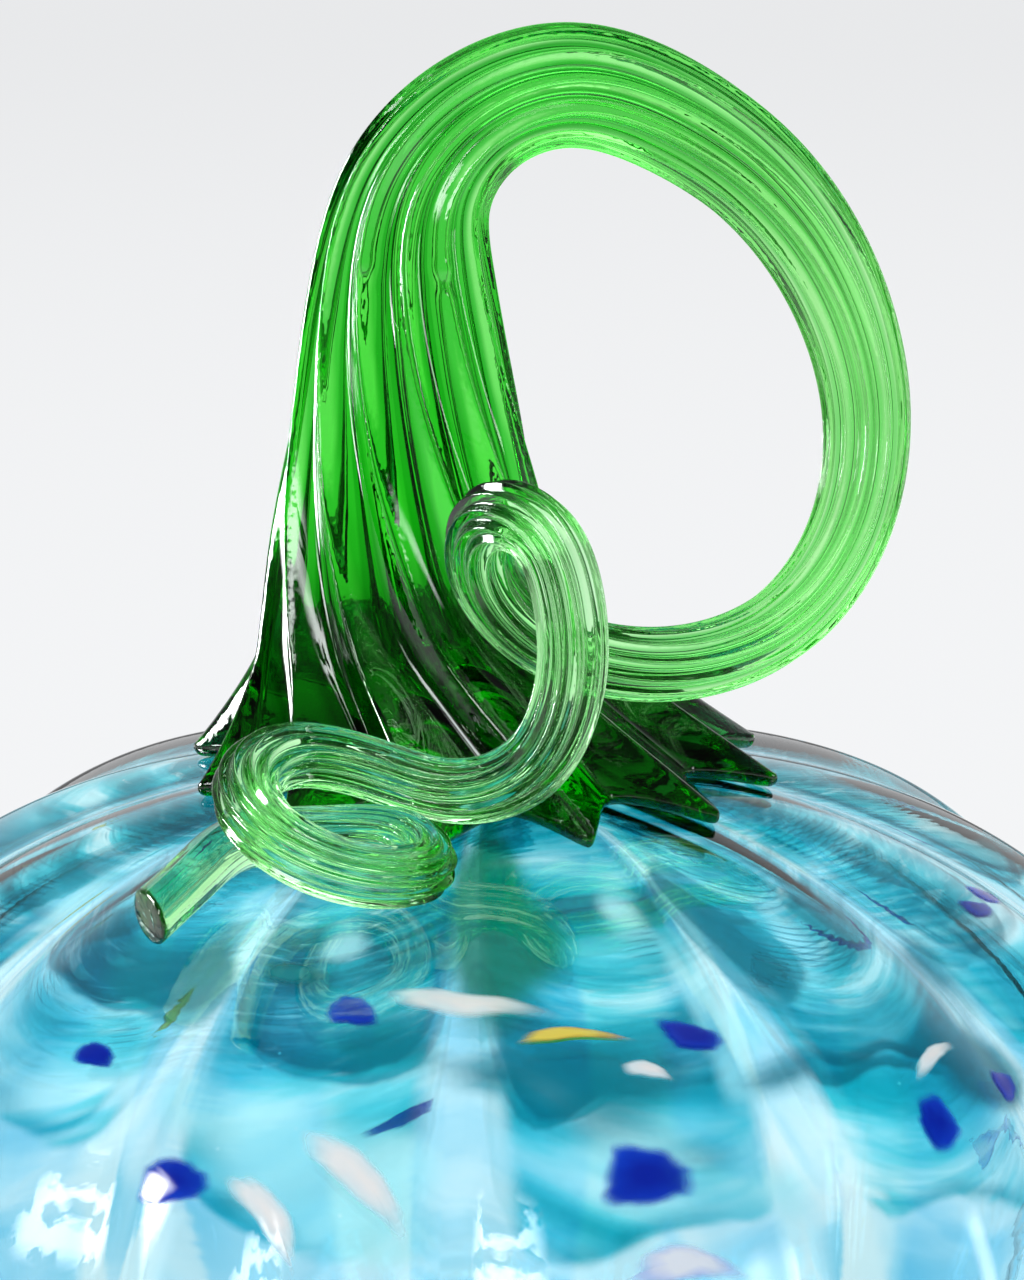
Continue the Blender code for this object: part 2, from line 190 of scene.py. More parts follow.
outer_wave = 0.0004
inner_wave = 0.0007
inner_wave_stretch = 0.7
inner_wave_turn = 1.0
settle_length = 0.03
level_error = 1e-9
outer_down, outer_turn = np.meshgrid(outer_arc, body_turn[:-1], indexing="ij")
inner_down, inner_turn = np.meshgrid(inner_arc, body_turn[:-1], indexing="ij")
settle = np.clip((arc_ring - outer_down) / settle_length, 0.0, 1.0)
outer_lift = settle * (outer_wave * blown_wave(outer_down, outer_turn) - skin_inset)
outside = body_at(outer_down, outer_turn, outer_lift)
on_ring = (outer_down >= arc_ring - level_error) & (outer_down <= arc_inner + level_error)
outside[on_ring, 2] = 0.0
inner_waves = blown_wave(inner_wave_stretch * inner_down, inner_turn + inner_wave_turn)
inside = body_at(inner_down, inner_turn, inner_wave * inner_waves - body_wall)
body_low, body_high = outside.reshape(-1, 3).min(axis=0), outside.reshape(-1, 3).max(axis=0)
axis = np.array([-(body_low[0] + body_high[0]) / 2.0, -(body_low[1] + body_high[1]) / 2.0, 0.0])
body_grid = np.concatenate([outside[::-1], inside]) + axis
body_down = np.concatenate([outer_down[::-1], inner_down])
body_bearing = np.concatenate([outer_turn[::-1], inner_turn])

# Right of the front the colour's creases, with the painted light along them, lie a little aside of the
# glass's own.
paint_shift = math.radians(2.6)
paint_shift_middle = 26.0
paint_shift_width = 12.0
painted = body_bearing - paint_shift * np.exp(
    -((np.degrees(body_bearing) - paint_shift_middle) / paint_shift_width) ** 2)
drape_hang = 0.007
drape_start = 0.05


def draped(down, bearing):
    """The way down from the neck as the layers of colour hang: lower in the middle of each lobe, and in two
    slow sine waves."""
    hang = drape_hang * (1.0 - crease(bearing)) * np.clip(down / drape_start, 0.0, 1.0)
    return down - hang + 0.006 * np.sin(2.0 * bearing + 0.6) + 0.004 * np.sin(5.0 * bearing + 30.0 * down)


front_tongues = (0.0535, 0.0625, 0.0625, 0.0670)
first_tongue = 11
tongue_length = 0.060
tongue_sway = 0.006
tongue_width = 0.90
tongue_power = 5
skirt_drop = 0.018


def tongue_depth(lobe):
    """How far down the deep colour reaches on each lobe, counted from the front crease: as listed on the
    lobes round the front, and a slow wave on the others."""
    depth = tongue_length + tongue_sway * np.sin(1.9 * np.arange(body_ribs))
    depth[(first_tongue + np.arange(len(front_tongues))) % body_ribs] = front_tongues
    return depth[lobe]


def below_tongue(down, bearing, drop):
    """How far a point lies below the end of its lobe's tongue of colour, which is a superellipse between the
    lobe's two creases: the norm of the places across and down, less one, times the tongue's depth."""
    place = (bearing - crease_bearing) * body_ribs / (2.0 * math.pi) % body_ribs
    lobe = np.floor(place).astype(int) % body_ribs
    across = np.abs(2.0 * (place - np.floor(place)) - 1.0) / tongue_width
    depth = tongue_depth(lobe) + drop + 0.0022 * np.sin(7.0 * bearing + 1.0) + 0.0016 * np.sin(17.0 * bearing)
    return ((across ** tongue_power + (down / depth) ** tongue_power) ** (1.0 / tongue_power) - 1.0) * depth


# Pools of colour, partly the glass's own and partly painted shade and light: the deep pools under the
# foot's right lobes and under the tail are painted shadow, and the pale pools under the foot's right lobes
# and along the crease right of the front are painted light. Each row gives a bearing in degrees, a place
# down from the neck in millimetres, the half width and half length in the same units, and a strength.
millimetre = 0.001
deep_pools = (
    (29.5, 33.0, 2.2, 6.0, 1.8),
    (31.6, 41.0, 2.4, 6.5, 2.0),
    (33.4, 48.0, 2.4, 4.5, 1.6),
    (45.5, 42.0, 2.6, 8.0, 1.3),
    (54.0, 54.0, 3.0, 8.0, 0.8),
    (-33.0, 47.5, 5.0, 5.0, 1.0),
    (3.0, 58.0, 8.0, 3.2, 0.8),
    (14.0, 60.5, 7.0, 3.4, 0.9),
    (29.0, 61.5, 6.0, 3.2, 0.7),
    (44.0, 64.0, 6.0, 3.2, 0.7),
    (-19.0, 48.5, 5.0, 4.0, 0.8),
    (-8.0, 54.0, 5.0, 4.0, 0.6),
    (9.5, 67.0, 9.0, 5.0, 0.52),
    (19.0, 72.0, 6.0, 3.0, 0.45),
    (47.0, 69.5, 4.0, 4.0, 0.9),
    (51.5, 70.0, 4.0, 5.0, 0.9),
    (-37.0, 51.5, 6.5, 3.5, 1.3),
    (-11.5, 57.0, 4.0, 3.0, 0.7),
    (-23.7, 55.8, 2.5, 3.5, 0.7),
)
pale_pools = (
    (-17.0, 41.5, 3.5, 4.0, 1.1),
    (-62.0, 43.0, 5.0, 6.0, 1.0),
    (-56.0, 38.0, 4.0, 4.0, 0.7),
    (19.0, 35.0, 4.0, 5.0, 1.0),
    (38.8, 45.0, 3.5, 6.0, 1.0),
    (28.0, 54.0, 2.5, 4.0, 1.0),
    (-27.7, 64.5, 4.0, 5.0, 0.9),
    (-33.4, 35.0, 4.0, 6.0, 1.0),
    (23.4, 48.0, 2.6, 8.0, 0.9),
    (23.8, 61.0, 3.0, 5.0, 0.9),
    (25.0, 76.0, 4.0, 5.0, 0.8),
    (36.0, 25.0, 5.0, 4.5, 1.0),
    (-18.0, 69.0, 7.0, 6.0, 1.1),
    (-12.0, 76.0, 7.0, 5.0, 1.0),
    (-6.5, 69.0, 4.0, 5.0, 0.8),
    (-7.6, 80.0, 5.0, 4.0, 0.7),
)
# The green pools are a painted reflection of the stem on the shoulder in front of its foot.
green_pools = (
    (1.0, 32.0, 6.0, 20.0, 1.7),
    (8.0, 41.0, 5.0, 6.0, 0.7),
)


def pooled(pools, down, bearing):
    """Pools of one colour: the sum of bell curves across and down about each place, times its strength."""
    total = np.zeros_like(down)
    for middle, place, half, length, strength in pools:
        aside = (np.degrees(bearing) - middle + 180.0) % 360.0 - 180.0
        total += strength * np.exp(-(aside / half) ** 2 - ((down / millimetre - place) / length) ** 2)
    return total


# The pool marks carry the deep pools with painted shadow, the pale pools with painted light, and the painted
# reflection of the stem.
body_map = np.concatenate([outer_arc[::-1], -inner_arc])
body = skin_mesh("blown_body", body_grid, body_turn / (2.0 * math.pi), body_map,
                 crease=crease(painted), drape=draped(body_down, painted), down=body_down,
                 tongue=below_tongue(body_down, painted, 0.0),
                 skirt=below_tongue(body_down, painted, skirt_drop),
                 pool=pooled(deep_pools, body_down, body_bearing),
                 pale=pooled(pale_pools, body_down, body_bearing),
                 green=pooled(green_pools, body_down, body_bearing))


def material(name):
    """An empty material: gives it, its node tree and its Principled shader."""
    made = bpy.data.materials.new(name)
    made.use_nodes = True
    return made, made.node_tree, made.node_tree.nodes["Principled BSDF"]


glass_index = 1.5


def clear_glass(shader):
    """Smooth glass that lets all the light through."""
    shader.inputs["Roughness"].default_value = 0.0
    shader.inputs["IOR"].default_value = glass_index
    shader.inputs["Transmission Weight"].default_value = 1.0


def node(tree, kind, **settings):
    """A node of that kind: settings name its own properties, or its inputs."""
    made = tree.nodes.new(kind)
    for key, value in settings.items():
        if hasattr(made, key):
            setattr(made, key, value)
        else:
            made.inputs[key.replace("_", " ")].default_value = value
    return made


def ramp(tree, value, stops):
    """The colour that a value has on a ramp with those places and colours."""
    made = tree.nodes.new("ShaderNodeValToRGB")
    for place, colour in stops[2:]:
        made.color_ramp.elements.new(place)
    for stop, (place, colour) in zip(made.color_ramp.elements, stops):
        stop.position = place
        stop.color = (*colour, 1.0)
    tree.links.new(value, made.inputs["Fac"])
    return made.outputs["Color"]


def number(tree, operation, first, second=None, third=None):
    """A Math node: each input is a plain number or another node's output."""
    made = node(tree, "ShaderNodeMath", operation=operation)
    for slot, value in enumerate((first, second, third)):
        if isinstance(value, (int, float)):
            made.inputs[slot].default_value = value
        elif value is not None:
            tree.links.new(value, made.inputs[slot])
    return made.outputs["Value"]


def product(tree, first, *factors):
    """The product of two or more numbers."""
    total = first
    for factor in factors:
        total = number(tree, "MULTIPLY", total, factor)
    return total


def step(tree, value, low, high, start=0.0, end=1.0):
    """A smooth step of a value between two places."""
    made = node(tree, "ShaderNodeMapRange", interpolation_type="SMOOTHSTEP")
    for socket, setting in (("From Min", low), ("From Max", high), ("To Min", start), ("To Max", end)):
        made.inputs[socket].default_value = setting
    tree.links.new(value, made.inputs["Value"])
    return made.outputs["Result"]


def mark(tree, name):
    """The number that a mesh carries at each point under that name."""
    return node(tree, "ShaderNodeAttribute", attribute_name=name).outputs["Fac"]


def noise(tree, vector, scale, detail=2.0, distortion=0.0):
    """Soft noise between 0 and 1 over a vector."""
    made = node(tree, "ShaderNodeTexNoise", Scale=scale, Detail=detail, Distortion=distortion)
    tree.links.new(vector, made.inputs["Vector"])
    return made.outputs["Fac"]


def mixed(tree, share, first, second):
    """A mix of two colours, each a colour or another node's output."""
    made = node(tree, "ShaderNodeMix", data_type="RGBA")
    tree.links.new(share, made.inputs["Factor"])
    for socket, value in ((made.inputs[6], first), (made.inputs[7], second)):
        if isinstance(value, tuple):
            socket.default_value = (*value, 1.0)
        else:
            tree.links.new(value, socket)
    return made.outputs[2]


tongue_deep_colour = (0.0006, 0.18, 0.27)
tongue_end_colour = (0.0003, 0.08, 0.12)
skirt_end_colour = (0.006, 0.32, 0.44)
# The crease colours are painted light along the creases.
high_crease_painted_light = (0.60, 0.91, 0.95)
low_crease_painted_light = (0.84, 0.98, 0.99)
dark_streak_colour = (0.001, 0.20, 0.26)
light_streak_colour = (0.62, 0.94, 0.96)
# Pool colours: partly the glass's own, partly painted light and shade; the green one is a painted reflection.
pale_pool_colour = (0.52, 0.91, 0.96)
deep_pool_colour = (0.0004, 0.18, 0.24)
green_pool_colour = (0.0006, 0.22, 0.12)
chill_colour = (0.002, 0.20, 0.27)
seed_colour = (0.80, 0.96, 0.99)
layer_stretch = 5.0
wander_size = 0.011
crease_softness = 0.20
chill_length = 0.0010
relief_depth = 0.000008
aqua, tree, shader = material("aqua_glass")
clear_glass(shader)
spot = node(tree, "ShaderNodeTexCoord").outputs["Object"]
drape = mark(tree, "drape")
down = mark(tree, "down")
valley = mark(tree, "crease")
apart = node(tree, "ShaderNodeSeparateXYZ")
tree.links.new(spot, apart.inputs["Vector"])
along_layers = node(tree, "ShaderNodeCombineXYZ")
tree.links.new(apart.outputs["X"], along_layers.inputs["X"])
tree.links.new(apart.outputs["Y"], along_layers.inputs["Y"])
tree.links.new(number(tree, "MULTIPLY", drape, layer_stretch), along_layers.inputs["Z"])
layered = along_layers.outputs["Vector"]

# Tongues of deep colour over a paler skirt, over the palest glass below. Both darken at their ends.
wander = number(tree, "MULTIPLY_ADD", noise(tree, spot, 38.0, 3.0, 0.6), wander_size, -0.5 * wander_size)
tongue = number(tree, "ADD", mark(tree, "tongue"), wander)
skirt = number(tree, "ADD", mark(tree, "skirt"), wander)
swirl = noise(tree, layered, 14.0, 4.0, 1.2)
tongue_tint = ramp(tree, swirl, [(0.41, (0.0008, 0.15, 0.20)), (0.47, (0.005, 0.36, 0.45)),
                                 (0.53, (0.06, 0.58, 0.69)), (0.60, (0.54, 0.92, 0.96))])
skirt_tint = ramp(tree, swirl, [(0.40, (0.004, 0.38, 0.48)), (0.50, (0.09, 0.63, 0.76)),
                                (0.61, (0.57, 0.91, 0.97))])
low_tint = ramp(tree, noise(tree, layered, 9.0, 3.0, 0.8),
                [(0.36, (0.30, 0.72, 0.90)), (0.50, (0.60, 0.88, 0.98)), (0.62, (0.80, 0.96, 1.0))])
broken = step(tree, noise(tree, spot, 24.0), 0.38, 0.58, 0.15, 1.0)
skirt_end = product(tree, step(tree, skirt, -0.0030, -0.0002, 0.0, 0.8), broken)
skirt_tint = mixed(tree, skirt_end, skirt_tint, skirt_end_colour)
tint = mixed(tree, step(tree, skirt, -0.0003, 0.0012), skirt_tint, low_tint)
tongue_deep = product(tree, step(tree, tongue, -0.015, -0.001),
                      step(tree, noise(tree, spot, 17.0), 0.34, 0.60, 0.35, 0.97))
tongue_tint = mixed(tree, tongue_deep, tongue_tint, tongue_deep_colour)
tongue_end = product(tree, step(tree, tongue, -0.0026, -0.0010, 0.0, 0.97), broken)
tongue_tint = mixed(tree, tongue_end, tongue_tint, tongue_end_colour)
tint = mixed(tree, step(tree, tongue, -0.0003, 0.0008), tongue_tint, tint)

# Pale creases that widen downwards, painted light along the creases; fine streaks along the layers near the
# neck; and the pools, partly the glass's own colour and partly painted shade, painted light and a painted
# reflection of the stem.
valley_reach = step(tree, down, 0.030, 0.080, 0.76, 0.50)
crease_light_share = number(tree, "DIVIDE", number(tree, "SUBTRACT", valley, valley_reach), crease_softness)
crease_light_share = product(tree, step(tree, crease_light_share, 0.0, 1.0),
                       step(tree, noise(tree, spot, 14.0), 0.36, 0.58, 0.40, 0.95))
crease_painted_light = mixed(tree, step(tree, down, 0.030, 0.075), high_crease_painted_light, low_crease_painted_light)
tint = mixed(tree, crease_light_share, tint, crease_painted_light)
streaks = noise(tree, layered, 130.0, 4.0, 0.5)
streaked = product(tree, step(tree, drape, 0.062, 0.044), step(tree, noise(tree, spot, 20.0), 0.40, 0.60))
dark_streaks = product(tree, streaked, step(tree, streaks, 0.48, 0.36, 0.0, 0.40))
tint = mixed(tree, dark_streaks, tint, dark_streak_colour)
light_streaks = product(tree, streaked, step(tree, streaks, 0.54, 0.66, 0.0, 0.35))
tint = mixed(tree, light_streaks, tint, light_streak_colour)
# Pale pools are partly painted light and deep pools partly painted shadow, beside the glass's own colour.
pool_noise = noise(tree, layered, 30.0, 3.0)
pale_and_light_edge = number(tree, "MULTIPLY_ADD", pool_noise, 0.5, mark(tree, "pale"))
tint = mixed(tree, step(tree, pale_and_light_edge, 0.55, 1.15, 0.0, 0.80), tint, pale_pool_colour)
deep_and_shade_edge = number(tree, "MULTIPLY_ADD", pool_noise, 0.5, mark(tree, "pool"))
tint = mixed(tree, step(tree, deep_and_shade_edge, 0.55, 1.0, 0.0, 0.93), tint, deep_pool_colour)
# A painted reflection of the green stem on the shoulder below it.
stem_reflection_edge = number(tree, "MULTIPLY_ADD", noise(tree, layered, 24.0, 3.0), 0.6, mark(tree, "green"))
tint = mixed(tree, step(tree, stem_reflection_edge, 0.60, 1.35, 0.0, 0.90), tint, green_pool_colour)

# Chill marks, which are fine wavy lines from the cold mould, and small seeds of air.
uneven = number(tree, "MULTIPLY_ADD", noise(tree, spot, 26.0), 0.007, drape)
chill_wave = number(tree, "SINE", number(tree, "MULTIPLY", uneven, 2.0 * math.pi / chill_length))
chill = product(tree, chill_wave, step(tree, noise(tree, layered, 16.0), 0.44, 0.60),
                step(tree, valley, 0.60, 0.30), step(tree, drape, 0.060, 0.044),
                step(tree, noise(tree, spot, 22.0), 0.36, 0.50),
                step(tree, noise(tree, spot, 170.0), 0.32, 0.62))
tint = mixed(tree, step(tree, chill, 0.20, 0.65, 0.0, 0.75), tint, chill_colour)
seeds = node(tree, "ShaderNodeTexVoronoi", Scale=140.0)
tree.links.new(spot, seeds.inputs["Vector"])
tint = mixed(tree, step(tree, seeds.outputs["Distance"], 0.040, 0.022, 0.0, 0.6), tint, seed_colour)
tree.links.new(tint, shader.inputs["Base Color"])
chill_relief = number(tree, "MULTIPLY", chill, 0.3)
ripple = number(tree, "MULTIPLY_ADD", noise(tree, layered, 60.0), 5.0, chill_relief)
relief = node(tree, "ShaderNodeBump", Strength=0.5, Distance=relief_depth)
tree.links.new(ripple, relief.inputs["Height"])
tree.links.new(relief.outputs["Normal"], shader.inputs["Normal"])
body.data.materials.append(aqua)
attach(body, "root")
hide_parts("body_shell")


# Frit. Broken pieces of cobalt, white, amber, lilac and sea-green glass that the hot bubble was rolled over.
# They melted in level with its skin and were drawn out longer as it was blown. A row gives colour, bearing in
# degrees, place down from the neck, length and width in millimetres, and tilt in degrees.
front_frit = (
    ("white", -2.0, 50.0, 19.0, 3.6, -8.0),
    ("amber", 8.3, 55.4, 12.0, 1.9, -7.0),
    ("cobalt", -13.0, 52.5, 5.5, 4.5, 0.0),
    ("white", 15.0, 61.0, 6.0, 2.2, -16.0),
    ("cobalt", 20.5, 56.0, 9.0, 3.8, -6.0),
    ("cobalt", 12.8, 73.5, 11.0, 6.6, -8.0),
    ("cobalt", 39.5, 73.5, 5.6, 6.6, 12.0),
    ("white", 43.0, 66.0, 9.0, 2.2, 14.0),
    ("cobalt", 51.0, 71.5, 5.2, 4.8, 0.0),
    ("cobalt", -25.5, 75.5, 9.6, 6.0, 10.0),
    ("white", -16.4, 79.0, 14.0, 3.6, -46.0),
    ("white", -9.8, 74.0, 18.0, 4.0, -42.0),
    ("lilac", 14.8, 84.0, 15.0, 4.0, -6.0),
    ("cobalt", -37.0, 63.0, 4.6, 3.4, 0.0),
    ("sea", -21.0, 47.5, 8.0, 4.2, -10.0),
)
frit_cycle = ("cobalt", "white", "sea", "cobalt", "lilac", "white", "cobalt", "amber")
band_pieces = 12
golden_share = 0.618
frit_half = 0.56 * millimetre
frit_depth = 0.0012
frit_crown = 0.00010
frit_rise = 0.00003
frit_rings = 25
frit_columns = 64
frit_pole = 0.02


def frit_band(first, span, top, spread):
    """A band of frit round the body: evenly round with a slow sway, stepping up and down within the band by
    the golden share, with lengths, widths and tilts that come round in turn."""
    return [(frit_cycle[i % len(frit_cycle)], first + span * i / band_pieces + 5.0 * math.sin(2.4 * i),
             top + spread * ((golden_share * i) % 1.0), 6.0 + 2.6 * (i % 4), 3.4 + 1.1 * (i % 3),
             -30.0 + 13.0 * (i % 5)) for i in range(band_pieces)]


frit_rows = list(front_frit) + frit_band(72.0, 244.0, 52.0, 34.0) + frit_band(4.0, 360.0, 97.0, 42.0)


def frit_grid(count, bearing, down, length, width, tilt, square, taper, bow):
    """A lens in the body's skin over polar angle and turn: a wavering outline between an ellipse and a square
    that narrows to one end and bows sideways by a parabola, with a low crown over a bowl, bent to the skin by
    its arc length and bearing. Gives its points, how near each is to the rim and to the narrow end, and 1
    underneath."""
    polar, turn = np.meshgrid(np.linspace(frit_pole, math.pi - frit_pole, frit_rings),
                              np.linspace(0.0, 2.0 * math.pi, frit_columns + 1)[:-1], indexing="ij")
    edge = (1.0 + 0.10 * np.sin(2.0 * turn + count) + 0.09 * np.sin(3.0 * turn + 1.7 * count)
            + 0.03 * np.sin(7.0 * turn + 2.3 * count) + 0.015 * np.sin(13.0 * turn + 0.7 * count))
    along = np.sign(np.cos(turn)) * np.abs(np.cos(turn)) ** square
    beside = np.sign(np.sin(turn)) * np.abs(np.sin(turn)) ** square * (1.0 - taper * along)
    rim = np.sin(polar)
    tail = rim * along
    x = tail * length * frit_half * edge
    y = rim * beside * width * frit_half * edge + bow * length * frit_half * (1.0 - 3.0 * tail ** 2)
    lean = math.radians(tilt)
    aside = x * math.cos(lean) - y * math.sin(lean)
    uphill = x * math.sin(lean) + y * math.cos(lean)
    around = np.interp(down * millimetre, line_arc, line_radius)
    arc = down * millimetre - uphill
    place = math.radians(bearing) + aside / around
    lens = np.where(polar < math.pi / 2.0, frit_crown * np.cos(polar) ** 2, frit_depth * np.cos(polar))
    lift = lens + frit_rise - skin_inset + outer_wave * blown_wave(arc, place)
    under = np.where(polar > math.pi / 2.0, 1.0, 0.0)
    return body_at(arc, place, lift) + axis, rim, tail, under


# Each finish gives the colours at the rim and in the middle, then how square, tapered and bowed the outline
# is, the cover in the middle, and the share of it that is left at the narrow end.
frit_finish = {
    "cobalt": ((0.006, 0.060, 0.62), (0.003, 0.020, 0.40), 0.75, 0.15, 0.0, 0.97, 0.8),
    "white": ((0.62, 0.84, 0.95), (0.94, 0.92, 0.91), 1.0, 0.45, 0.10, 0.95, 0.35),
    "amber": ((0.62, 0.24, 0.02), (0.90, 0.68, 0.12), 1.0, 0.35, 0.05, 0.95, 0.6),
    "lilac": ((0.30, 0.42, 0.86), (0.82, 0.85, 0.95), 1.0, 0.30, 0.08, 0.88, 0.5),
    "sea": ((0.002, 0.10, 0.13), (0.01, 0.28, 0.32), 1.1, 0.20, 0.0, 0.55, 0.6),
}
frit_roughness = 0.03
frit_scatter = 0.6
frit_scatter_length = 0.002
frit_underside_painted_glow = 0.55
piece_points = frit_rings * frit_columns
frit_quads = grid_quads(frit_rings, frit_columns)[:, [0, 3, 2, 1]]
frit_caps = [list(range(frit_columns)), list(range(piece_points - frit_columns, piece_points))[::-1]]
for colour, (rim_colour, middle_colour, square, taper, bow, cover, thin) in frit_finish.items():
    chosen = [(i, *row[1:], square, taper, bow) for i, row in enumerate(frit_rows) if row[0] == colour]
    grids, rims, tails, unders = zip(*[frit_grid(*row) for row in chosen])
    faces = []
    for i in range(len(chosen)):
        faces += (frit_quads + i * piece_points).tolist()
        faces += [[corner + i * piece_points for corner in cap] for cap in frit_caps]
    frit_mesh = bpy.data.meshes.new("frit_" + colour)
    frit_mesh.from_pydata(np.concatenate(grids).reshape(-1, 3).tolist(), [], faces)
    for label, values in (("rim", rims), ("tail", tails), ("under", unders)):
        values = np.concatenate(values).ravel()
        frit_mesh.attributes.new(label, "FLOAT", "POINT").data.foreach_set("value", values)
    frit_mesh.shade_smooth()
    frit = bpy.data.objects.new("frit_" + colour, frit_mesh)
    bpy.context.scene.collection.objects.link(frit)
    glass, tree, shader = material(colour + "_frit_glass")
    shader.inputs["Roughness"].default_value = frit_roughness
    shader.inputs["Subsurface Weight"].default_value = frit_scatter
    shader.inputs["Subsurface Radius"].default_value = (1.0, 1.0, 1.0)
    shader.inputs["Subsurface Scale"].default_value = frit_scatter_length
    shader.inputs["IOR"].default_value = glass_index
    spot = node(tree, "ShaderNodeTexCoord").outputs["Object"]
    cloud = number(tree, "ADD", noise(tree, spot, 130.0, 2.0, 0.8), 0.40)
    cloud = number(tree, "MULTIPLY_ADD", mark(tree, "rim"), -0.65, cloud)
    cloud_tint = ramp(tree, cloud, [(0.20, rim_colour), (0.75, middle_colour)])
    tree.links.new(cloud_tint, shader.inputs["Base Color"])
    # The underside glows: painted light that stands in for light coming through the piece from outside.
    tree.links.new(cloud_tint, shader.inputs["Emission Color"])
    tree.links.new(product(tree, mark(tree, "under"), frit_underside_painted_glow), shader.inputs["Emission Strength"])
    ragged = number(tree, "MULTIPLY_ADD", noise(tree, spot, 160.0), 0.3, mark(tree, "rim"))
    melted = step(tree, ragged, 1.08, 0.66, 0.0, cover)
    thinned = step(tree, mark(tree, "tail"), 0.1, 0.95, 1.0, thin)
    tree.links.new(product(tree, melted, thinned), shader.inputs["Alpha"])
    frit_mesh.materials.append(glass)
    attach(frit, "root")
    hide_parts(*["frit_%s_%02d" % (colour, i + 1) for i in range(len(chosen))])


# Stem. A hot bit of green glass from a ribbed mould, dropped over the neck so that its ribs spread into a
# lobed foot, then pulled up, twisted and wound round a former into a loop, a coil, a flat curl and a tail
# that is cut off. Each row of its route gives a centre over the foot's edge and a radius, in millimetres.
stem_ribs = 12
tip_bearing = math.radians(20.0)
foot_radius = 0.036
notch_radius = 0.0265
edge_height = 0.0022
foot_sink = 0.00025
foot_ridge = 0.0046
column_ridge = 0.0028
loop_ridge = 0.0018
curl_ridge = 0.0009
tail_ridge = 0.0001
stem_inset = 0.0001
stem_rings = 540
upright_length = 0.040
column_length = 0.070
column_twist = math.radians(52.0)
column_twist_power = 1.2
loop_twist = math.radians(120.0)
stem_route = np.array((
    (-2.4, 0.0, 8.0, 28.0),
    (-5.2, 0.0, 12.0, 24.0),
    (-7.4, 0.0, 17.0, 20.4),
    (-8.8, 0.0, 30.0, 16.8),
    (-9.3, 0.0, 46.0, 13.7),
    (-9.4, 0.0, 60.0, 11.2),
    (-7.6, 0.0, 71.0, 9.2),
    (0.0, 0.5, 80.0, 7.8),
    (10.0, 2.0, 83.0, 7.5),
    (22.0, 4.0, 79.4, 7.3),
    (35.0, 7.0, 69.3, 6.7),
    (43.4, 9.0, 55.8, 6.0),
    (46.6, 8.0, 42.6, 5.5),
    (44.5, 3.0, 29.5, 5.1),
    (37.0, -4.5, 20.2, 4.8),
    (26.0, -12.5, 16.8, 4.6),
    (14.0, -19.0, 18.4, 4.5),
    (4.6, -22.5, 23.5, 4.4),
    (-0.2, -25.5, 32.0, 4.3),
    (1.6, -31.0, 38.2, 4.2),
    (6.6, -36.0, 37.2, 4.2),
    (9.8, -38.7, 29.0, 4.2),
    (9.6, -39.2, 19.5, 4.2),
    (5.6, -39.0, 11.2, 4.1),
    (-2.5, -36.6, 7.4, 3.9),
    (-12.0, -33.6, 9.0, 3.8),
    (-21.0, -36.2, 11.6, 3.9),
    (-26.2, -45.0, 11.0, 4.0),
    (-23.0, -55.2, 7.6, 3.9),
    (-13.5, -58.5, 4.2, 3.7),
    (-6.5, -53.0, 3.2, 3.6),
    (-8.6, -45.6, 4.2, 3.5),
    (-18.5, -41.0, 3.6, 3.4),
    (-27.5, -40.0, 2.4, 3.3),
    (-32.5, -47.0, 0.4, 3.2),
    (-36.5, -56.0, -1.2, 3.2),
)) * millimetre
arc_foot = np.interp(foot_radius, line_radius[:widest], line_arc[:widest])
arc_notch = np.interp(notch_radius, line_radius[:widest], line_arc[:widest])
foot_level = float(np.interp(arc_foot, line_arc, line_height))
lip_level = float(line_height[0])


def drawn_curve(points, count):
    """A natural cubic through the points over their chord length, in even steps: the second derivatives come
    from one linear system, and each span blends its two ends by cubes of the distance to them."""
    knots = np.concatenate([[0.0], np.cumsum(np.linalg.norm(np.diff(points[:, :3], axis=0), axis=1))])
    gap = np.diff(knots)
    inner = np.arange(1, len(points) - 1)
    system = np.eye(len(points))
    system[inner, inner - 1] = gap[:-1]
    system[inner, inner] = 2.0 * (gap[:-1] + gap[1:])
    system[inner, inner + 1] = gap[1:]
    slope = np.diff(points, axis=0) / gap[:, None]
    pull = np.zeros_like(points)
    pull[inner] = 6.0 * np.diff(slope, axis=0)
    bend = np.linalg.solve(system, pull)
    at = np.linspace(0.0, knots[-1], count)
    span = np.clip(np.searchsorted(knots, at) - 1, 0, len(points) - 2)
    left, rest, width = (at - knots[span])[:, None], (knots[span + 1] - at)[:, None], gap[span][:, None]
    return (bend[span] * rest ** 3 / (6.0 * width) + bend[span + 1] * left ** 3 / (6.0 * width)
            + (points[span] / width - bend[span] * width / 6.0) * rest
            + (points[span + 1] / width - bend[span + 1] * width / 6.0) * left)


upward = np.array([0.0, 0.0, 1.0])
path = drawn_curve(stem_route, stem_rings)
path_centre = path[:, :3] + upward * foot_level
path_radius = path[:, 3] - stem_inset
path_step = np.linalg.norm(np.diff(path_centre, axis=0), axis=1)
path_arc = np.concatenate([[0.0], np.cumsum(path_step)])
path_way = np.gradient(path_centre, axis=0)
path_way /= np.linalg.norm(path_way, axis=1)[:, None]
upright = np.clip(path_arc / upright_length, 0.0, 1.0)[:, None]
path_way = path_way * upright + upward * (1.0 - upright)
path_way /= np.linalg.norm(path_way, axis=1)[:, None]
path_side = np.zeros_like(path_way)
side = np.array([1.0, 0.0, 0.0])
for i in range(stem_rings):
    side = side - path_way[i] * np.dot(side, path_way[i])
    side = side / np.linalg.norm(side)
    path_side[i] = side
path_front = np.cross(path_side, path_way)
up_column = np.clip(path_arc / column_length, 0.0, 1.0)
twist = -column_twist * np.sin(up_column * math.pi / 2.0) ** column_twist_power
